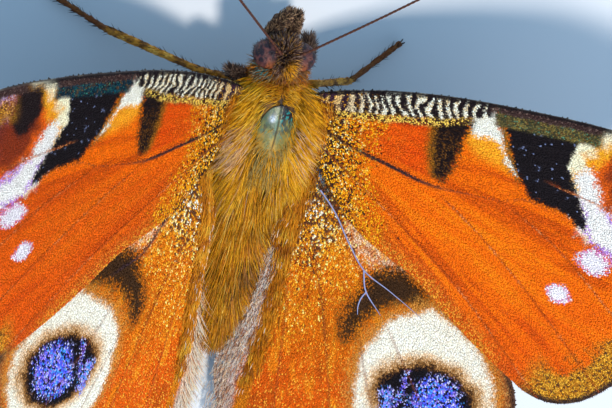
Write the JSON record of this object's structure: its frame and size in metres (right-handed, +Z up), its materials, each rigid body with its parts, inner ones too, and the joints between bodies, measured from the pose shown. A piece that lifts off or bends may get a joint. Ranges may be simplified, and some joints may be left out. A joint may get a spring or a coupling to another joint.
{
  "type": "peacock butterfly model",
  "caption": "Life-size peacock butterfly standing with its wings open in a shallow V, furred body, clubbed antennae and long legs.",
  "frame": {"origin": "middle of the bounding box, on the floor that the feet stand on", "axes": "+X to the animal's right, +Y towards its head, +Z up"},
  "size_m": [0.0546, 0.0352, 0.0221],
  "materials": {
    "fur": "matte, long golden hair over a dark shell",
    "abdomen": "matte, dark scales under golden hair",
    "face": "matte, dark scales and bristles",
    "eye": "glossy, finely hairy",
    "antenna": "satin, finely scaled",
    "leg": "satin, scaled and bristly",
    "forewing": "matte, scaled",
    "hindwing": "matte, scaled"
  },
  "bodies": {
    "root": {"thorax": "fur", "abdomen": "abdomen", "head": "face", "proboscis": "antenna", "eye_left": "eye", "palp_left": "face", "antenna_left": "antenna", "forewing_left": "forewing", "hindwing_left": "hindwing", "foreleg_left": "leg", "midleg_left": "leg", "hindleg_left": "leg", "eye_right": "eye", "palp_right": "face", "antenna_right": "antenna", "forewing_right": "forewing", "hindwing_right": "hindwing", "foreleg_right": "leg", "midleg_right": "leg", "hindleg_right": "leg"}
  },
  "joints": []
}
